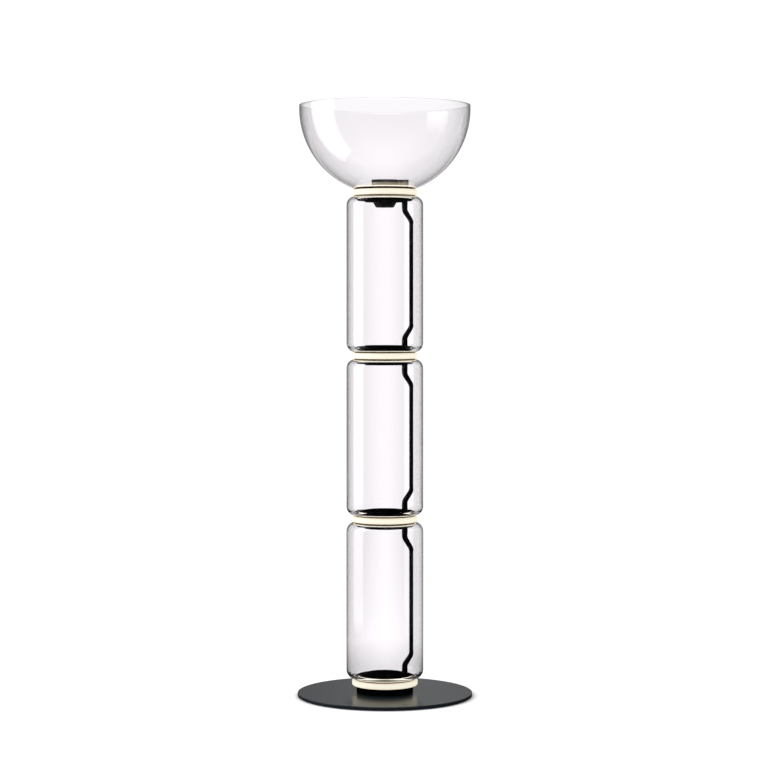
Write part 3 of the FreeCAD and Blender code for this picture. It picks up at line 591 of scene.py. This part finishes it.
def bowl_profile(low, high):
    """The closed wall of the bowl: two spheres about one centre, a ground foot and a full round rim."""
    outer = high.x
    inner = outer - GLASS_WALL
    middle = outer - GLASS_WALL / 2
    centre = low.z + math.sqrt(outer ** 2 - BOWL_FOOT_RADIUS ** 2)
    foot_angle = -math.acos(BOWL_FOOT_RADIUS / outer)
    mouth_angle = -math.acos(MOUTH_RADIUS / inner)
    rim_angle = math.asin((high.z - centre) / middle) - GLASS_WALL / 2 / middle

    def on_sphere(radius, angle):
        return (radius * math.cos(angle), centre + radius * math.sin(angle), 0)

    def arc(radius, start, end):
        step = (end - start) / BOWL_ARC_STEPS
        return [on_sphere(radius, start + step * n) for n in range(BOWL_ARC_STEPS + 1)]

    crest = Vector(on_sphere(middle, rim_angle))
    across = Vector((math.cos(rim_angle), math.sin(rim_angle), 0)) * GLASS_WALL / 2
    along = Vector((-math.sin(rim_angle), math.cos(rim_angle), 0)) * GLASS_WALL / 2
    rim = []
    for n in range(1, RIM_STEPS):
        turn = math.pi * n / RIM_STEPS
        rim.append(crest + across * math.cos(turn) + along * math.sin(turn))
    outside = arc(outer, foot_angle, rim_angle)
    inside = arc(inner, rim_angle, mouth_angle)
    wall = [(MOUTH_RADIUS, low.z, 0)] + outside + rim + inside
    return [(place, 0.0) for place in wall]


def make_glass():
    """The three cylinders and the bowl, each turned from its profile."""
    tree = turned_wall_tree()
    profiles = {f"{name}_cylinder": cylinder_profile for name in CYLINDERS}
    profiles["bowl"] = bowl_profile
    for node, profile in profiles.items():
        low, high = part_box(node)
        piece = grow(f"{node}_glass", outline(node, profile(low, high), closed=True), tree, {
            "Reach": high.x,
            "Steps": GLASS_STEPS,
            "Corner Steps": CORNER_STEPS,
            "Finish": finishes["clear_glass"],
        })
        settle(piece, "lamp", "clear_glass", node)


# Power links

def make_link_tubes():
    """The joggled tube in each cylinder that carries the wires past the glass, with its bore."""
    tree = bent_tube_tree()
    turn = Matrix.Rotation(LINK_TURN, 3, "Z")
    for name in CYLINDERS:
        node = f"{name}_link_tube"
        low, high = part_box(node)
        low_bend = low.z - LINK_PLUG_FLOOR + LINK_STUB
        high_bend = high.z + LINK_PLUG_FLOOR - LINK_STUB
        corners = [
            (LINK_FOOT_RADIUS, low.z, 0),
            (LINK_FOOT_RADIUS, low_bend, LINK_BEND),
            (LINK_RUN_RADIUS, low_bend + LINK_JOGGLE, LINK_BEND),
            (LINK_RUN_RADIUS, high_bend - LINK_JOGGLE, LINK_BEND),
            (LINK_FOOT_RADIUS, high_bend, LINK_BEND),
            (LINK_FOOT_RADIUS, high.z, 0),
        ]
        path = [(turn @ Vector((radius, 0, height)), bend) for radius, height, bend in corners]
        bore = [("SOLIDIFY", {"thickness": LINK_TUBE_WALL, "offset": -1.0})]
        piece = grow(f"{name}_power_tube", outline(node, path, closed=False), tree, {
            "Tube Radius": LINK_TUBE_RADIUS,
            "Sides": LINK_SIDES,
            "Corner Steps": CORNER_STEPS,
            "Finish": finishes["black_moulded_plastic"],
        }, bore)
        settle(piece, "lamp", "black_moulded_plastic", node)


# Fasteners and glides

def make_screws():
    """The screws of the joints, and those from under the plate into the hub."""
    tree = screw_tree()
    up, down = (0, 0, 1), (0, 0, -1)
    rims = {joint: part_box(f"{joint}_joint_core") for joint in JOINTS}
    sets = {f"{joint}_joint_screws": [] for joint in JOINTS}
    for joint, (core_low, core_high) in rims.items():
        low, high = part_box(f"{joint}_joint_screws")
        if joint != "bowl":
            seat = high.z - FLANGE_SCREW["Head Height"]
            sets[f"{joint}_joint_screws"].append((seat, up, seat - core_high.z + SCREW_BITE))
        seat = low.z + FLANGE_SCREW["Head Height"]
        sets[f"{joint}_joint_screws"].append((seat, down, core_low.z - seat + SCREW_BITE))
    low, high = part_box("base_screws")
    seat = low.z + BASE_SCREW["Head Height"]
    sets["base_screws"] = [(seat, down, high.z - seat)]
    for node, rows in sets.items():
        in_base = node == "base_screws"
        sizes = BASE_SCREW if in_base else FLANGE_SCREW
        circle = high.x - sizes["Head Radius"] if in_base else FLANGE_SCREW_CIRCLE
        start = 0.0 if in_base else FLANGE_SCREW_START
        angles = [start + math.tau * n / SCREW_COUNT for n in range(SCREW_COUNT)]
        places = [on_circle(circle, angle, seat) for seat, _, _ in rows for angle in angles]
        ways = [way for _, way, _ in rows for _ in angles]
        shanks = [length for _, _, length in rows for _ in angles]
        piece = grow(node.replace("screws", "socket_screws"), scattered(node, places, ways, shanks), tree, {
            **sizes, "Finish": finishes["black_oxide_steel"]}, SCREW_EDGES)
        settle(piece, "lamp", "black_oxide_steel", node)


def make_glides():
    """The rubber feet under the plate."""
    low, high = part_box("floor_glides")
    thickness = high.z - low.z
    circle = high.x - GLIDE_RADIUS
    angles = [math.tau * n / GLIDE_COUNT for n in range(GLIDE_COUNT)]
    places = [on_circle(circle, angle, low.z + thickness / 2) for angle in angles]
    piece = grow("rubber_glides", scattered("glides", places), glide_tree(), {
        "Glide Radius": GLIDE_RADIUS,
        "Thickness": thickness,
        "Finish": finishes["black_rubber"],
    }, GLIDE_EDGES)
    settle(piece, "lamp", "black_rubber", "floor_glides")


# Studio

def make_world():
    """A white backdrop, seen plainly or through the glass, and a dark room with a grey wall in mirrors."""
    world = bpy.data.worlds.new("studio")
    bpy.context.scene.world = world
    world.use_nodes = True
    tree = world.node_tree
    path = add_node(tree, "ShaderNodeLightPath").outputs
    coords = add_node(tree, "ShaderNodeTexCoord").outputs["Generated"]
    direction = add_node(tree, "ShaderNodeSeparateXYZ", {"Vector": coords}).outputs
    bounces = add_node(tree, "ShaderNodeMath", {
        0: path["Glossy Depth"], 1: path["Diffuse Depth"]}, operation="ADD")
    straight = add_node(tree, "ShaderNodeMath", {0: bounces, 1: 0.5}, operation="LESS_THAN")
    through = add_node(tree, "ShaderNodeMath", {
        0: straight, 1: path["Is Transmission Ray"]}, operation="MULTIPLY")
    plain = add_node(tree, "ShaderNodeMath", {0: through, 1: path["Is Camera Ray"]}, operation="MAXIMUM")
    mirrored = add_node(tree, "ShaderNodeMath", {0: path["Glossy Depth"], 1: 0.5}, operation="GREATER_THAN")

    far_floor = add_node(tree, "ShaderNodeMapRange", {
        "Value": direction["Z"],
        "From Min": FAR_FLOOR_ENDS[0],
        "From Max": FAR_FLOOR_ENDS[1],
        "To Min": FAR_FLOOR,
        "To Max": WALL_FOOT,
    }, interpolation_type="SMOOTHSTEP")
    wall = add_node(tree, "ShaderNodeMapRange", {
        "Value": direction["Z"],
        "From Min": WALL_RISES[0],
        "From Max": WALL_RISES[1],
        "To Min": far_floor,
        "To Max": WALL_TOP,
    }, interpolation_type="SMOOTHSTEP")
    dark_room = add_node(tree, "ShaderNodeMapRange", {
        "Value": direction["Z"],
        "From Min": HORIZON[0],
        "From Max": HORIZON[1],
        "To Min": ROOM_DARK,
        "To Max": ROOM_ABOVE,
    })
    shell = add_node(tree, "ShaderNodeMapRange", {
        "Value": direction["Y"],
        "From Min": WALL_STARTS[0],
        "From Max": WALL_STARTS[1],
        "To Min": dark_room,
        "To Max": wall,
    }, interpolation_type="SMOOTHSTEP")
    aside = add_node(tree, "ShaderNodeMath", {0: direction["X"], 1: PATCH_MIDDLE}, operation="SUBTRACT")
    off_patch = add_node(tree, "ShaderNodeMath", {0: aside}, operation="ABSOLUTE")
    patch = add_node(tree, "ShaderNodeMapRange", {
        "Value": off_patch,
        "From Max": PATCH_REACH,
        "To Min": PATCH_SHARE,
        "To Max": BESIDE_PATCH_SHARE,
    }, interpolation_type="SMOOTHSTEP")
    above = add_node(tree, "ShaderNodeMapRange", {
        "Value": direction["Z"], "From Min": HORIZON[0], "From Max": HORIZON[1]})
    share = add_node(tree, "ShaderNodeMix", {"Factor": above, "A": 1.0, "B": patch}, data_type="FLOAT")
    patched = add_node(tree, "ShaderNodeMath", {0: shell, 1: share}, operation="MULTIPLY")
    room = add_node(tree, "ShaderNodeMix", {
        "Factor": mirrored, "A": ROOM_FILL, "B": patched}, data_type="FLOAT")

    sideways = add_node(tree, "ShaderNodeMath", {0: direction["X"]}, operation="ABSOLUTE")
    glow = add_node(tree, "ShaderNodeMapRange", {
        "Value": direction["Z"],
        "From Min": GLOW_ENDS[0],
        "From Max": GLOW_ENDS[1],
        "To Min": BACKDROP + BACKDROP_GLOW,
        "To Max": BACKDROP,
    }, interpolation_type="SMOOTHSTEP")
    reach = add_node(tree, "ShaderNodeMapRange", {
        "Value": direction["Z"],
        "From Min": GLOW_WIDENS[0],
        "From Max": GLOW_WIDENS[1],
        "To Min": GLOW_REACH,
        "To Max": BOWL_GLOW_REACH,
    })
    backdrop = add_node(tree, "ShaderNodeMapRange", {
        "Value": sideways,
        "From Min": 0.0,
        "From Max": reach,
        "To Min": glow,
        "To Max": BACKDROP,
    }, interpolation_type="SMOOTHSTEP")
    strength = add_node(tree, "ShaderNodeMix", {
        "Factor": plain, "A": room, "B": backdrop}, data_type="FLOAT")
    back = tree.nodes["Background"]
    back.inputs["Color"].default_value = (1, 1, 1, 1)
    tree.links.new(strength.outputs[0], back.inputs["Strength"])


def make_softbox():
    """A tall light on the left with soft edges. Its power follows from how bright its middle is."""
    lamp = bpy.data.lights.new("softbox", "AREA")
    lamp.shape = "RECTANGLE"
    lamp.size = SOFTBOX_WIDTH
    lamp.size_y = SOFTBOX_HEIGHT
    lamp.energy = SOFTBOX_RADIANCE * math.pi * SOFTBOX_WIDTH * SOFTBOX_HEIGHT
    lamp.use_nodes = True
    tree = lamp.node_tree
    place = add_node(tree, "ShaderNodeNewGeometry").outputs["Parametric"]
    across = add_node(tree, "ShaderNodeSeparateXYZ", {"Vector": place}).outputs
    brightness = 1.0
    for axis, start, full, edge in SOFTBOX_FADES:
        fade = add_node(tree, "ShaderNodeMapRange", {
            "Value": across[axis],
            "From Min": start,
            "From Max": full,
            "To Min": edge,
        }, interpolation_type="SMOOTHSTEP")
        brightness = add_node(tree, "ShaderNodeMath", {0: fade, 1: brightness}, operation="MULTIPLY")
    tree.links.new(brightness.outputs[0], tree.nodes["Emission"].inputs["Strength"])
    softbox = bpy.data.objects.new("softbox", lamp)
    bpy.context.scene.collection.objects.link(softbox)
    softbox.location = SOFTBOX_MIDDLE
    way = Vector(SOFTBOX_AIM) - Vector(SOFTBOX_MIDDLE)
    softbox.rotation_euler = way.to_track_quat("-Z", "Y").to_euler()
    softbox.visible_camera = False


def make_floor():
    """A pale floor: white in plain sight but for the lamp's shadow, greyer through glass near the lamp, with
    painted shade in mirrors.
    """
    mesh = bpy.data.meshes.new("floor")
    corners = [(x * FLOOR_REACH, y * FLOOR_REACH, 0) for x, y in ((-1, -1), (1, -1), (1, 1), (-1, 1))]
    mesh.from_pydata(corners, [], [(0, 1, 2, 3)])
    floor = bpy.data.objects.new("floor", mesh)
    bpy.context.scene.collection.objects.link(floor)
    material, tree, shader = new_finish("pale_studio_floor", {
        "Roughness": 0.9, "Emission Color": (1, 1, 1, 1)})
    path = add_node(tree, "ShaderNodeLightPath").outputs
    coords = add_node(tree, "ShaderNodeTexCoord").outputs["Object"]
    place = add_node(tree, "ShaderNodeSeparateXYZ", {"Vector": coords}).outputs
    away = add_node(tree, "ShaderNodeVectorMath", {0: coords}, operation="LENGTH").outputs["Value"]
    mirrored = add_node(tree, "ShaderNodeMath", {0: path["Glossy Depth"], 1: 0.5}, operation="GREATER_THAN")
    direct = add_node(tree, "ShaderNodeMath", {0: 1.0, 1: mirrored}, operation="SUBTRACT")

    # painted shade: mirrors show the floor dark grey within about 1.5 m of them, in front of the lamp and
    # far behind it
    dark = 0.0
    for value, (start, full) in (
            (place["Y"], DIM_BEFORE), (place["Y"], DIM_BEHIND), (path["Ray Length"], DIM_CLOSE)):
        fade = add_node(tree, "ShaderNodeMapRange", {"Value": value, "From Min": start, "From Max": full})
        dark = add_node(tree, "ShaderNodeMath", {0: dark, 1: fade}, operation="MAXIMUM")
    painted_mirror_shade = add_node(tree, "ShaderNodeMath", {0: mirrored, 1: dark}, operation="MULTIPLY")
    floor_paint_and_shade = add_node(tree, "ShaderNodeMix", {
        "Factor": painted_mirror_shade, 6: linear(FLOOR_COLOUR), 7: linear(FLOOR_MIRROR_SHADE_COLOUR)}, data_type="RGBA")
    tree.links.new(floor_paint_and_shade.outputs[2], shader.inputs["Base Color"])

    sideways = add_node(tree, "ShaderNodeMath", {0: place["X"]}, operation="ABSOLUTE")
    glow = add_node(tree, "ShaderNodeMapRange", {
        "Value": sideways, "From Max": FLOOR_GLOW_REACH, "To Min": FLOOR_GLOW, "To Max": 0.0})
    aside = add_node(tree, "ShaderNodeMath", {0: place["X"], 1: NEAR_MIDDLE}, operation="SUBTRACT")
    off_middle = add_node(tree, "ShaderNodeMath", {0: aside}, operation="ABSOLUTE")
    near = add_node(tree, "ShaderNodeMapRange", {
        "Value": off_middle,
        "From Min": NEAR_CORE,
        "From Max": NEAR_REACH,
        "To Min": FLOOR_LIFT_NEAR,
        "To Max": FLOOR_LIFT_BESIDE,
    })
    out_from_lamp = add_node(tree, "ShaderNodeMapRange", {
        "Value": away,
        "From Min": NEAR_ENDS[0],
        "From Max": NEAR_ENDS[1],
        "To Min": near,
        "To Max": FLOOR_LIFT_FAR,
    })
    lit = add_node(tree, "ShaderNodeMath", {0: out_from_lamp, 1: glow}, operation="ADD")
    behind_softbox = add_node(tree, "ShaderNodeMapRange", {
        "Value": place["X"],
        "From Min": UNLIT_ENDS[0],
        "From Max": UNLIT_ENDS[1],
        "To Min": FLOOR_LIFT_UNLIT,
        "To Max": 0.0,
    })
    unlit = add_node(tree, "ShaderNodeMath", {0: direct, 1: behind_softbox}, operation="MULTIPLY")
    behind_glass = add_node(tree, "ShaderNodeMath", {0: lit, 1: unlit}, operation="MAXIMUM")

    # rays that the glass has turned aside see the added light only where they end behind the lamp
    slant = add_node(tree, "ShaderNodeMath", {0: place["Y"], 1: away}, operation="DIVIDE")
    beyond = add_node(tree, "ShaderNodeMapRange", {
        "Value": slant, "From Min": BEHIND_LAMP[0], "From Max": BEHIND_LAMP[1]})
    seen = add_node(tree, "ShaderNodeMath", {0: direct, 1: beyond}, operation="MAXIMUM")
    seen_through = add_node(tree, "ShaderNodeMath", {
        0: path["Is Transmission Ray"], 1: seen}, operation="MULTIPLY")
    through = add_node(tree, "ShaderNodeMath", {0: seen_through, 1: behind_glass}, operation="MULTIPLY")
    plain = add_node(tree, "ShaderNodeMath", {0: path["Is Camera Ray"], 1: FLOOR_LIFT}, operation="MULTIPLY")
    either = add_node(tree, "ShaderNodeMath", {0: plain, 1: through}, operation="ADD")
    contact = add_node(tree, "ShaderNodeMapRange", {
        "Value": away, "From Min": CONTACT_SHADOW[0], "From Max": CONTACT_SHADOW[1]})
    lift = add_node(tree, "ShaderNodeMath", {0: either, 1: contact}, operation="MULTIPLY")
    tree.links.new(lift.outputs[0], shader.inputs["Emission Strength"])
    mesh.materials.append(material)


def make_studio():
    """World, light and floor."""
    make_world()
    make_softbox()
    make_floor()


def make_camera():
    """The photograph's camera: level, with the lens shifted to bring the horizon to its row."""
    lens = bpy.data.cameras.new("photograph")
    lens.sensor_width = SENSOR_WIDTH_MM
    lens.lens = FOCAL_PIXELS / IMAGE_SIDE * SENSOR_WIDTH_MM
    lens.shift_x = (IMAGE_SIDE / 2 - AXIS_PIXEL) / IMAGE_SIDE
    lens.shift_y = (HORIZON_PIXEL - IMAGE_SIDE / 2) / IMAGE_SIDE
    camera = bpy.data.objects.new("photograph", lens)
    bpy.context.scene.collection.objects.link(camera)
    camera.location = CAMERA_PLACE
    camera.rotation_euler = (math.radians(90), 0, 0)
    bpy.context.scene.camera = camera


bpy.context.scene.view_settings.view_transform = "Standard"
make_camera()
dress_frame()
make_glass()
make_link_tubes()
make_screws()
make_glides()
make_studio()

bpy.context.view_layer.update()
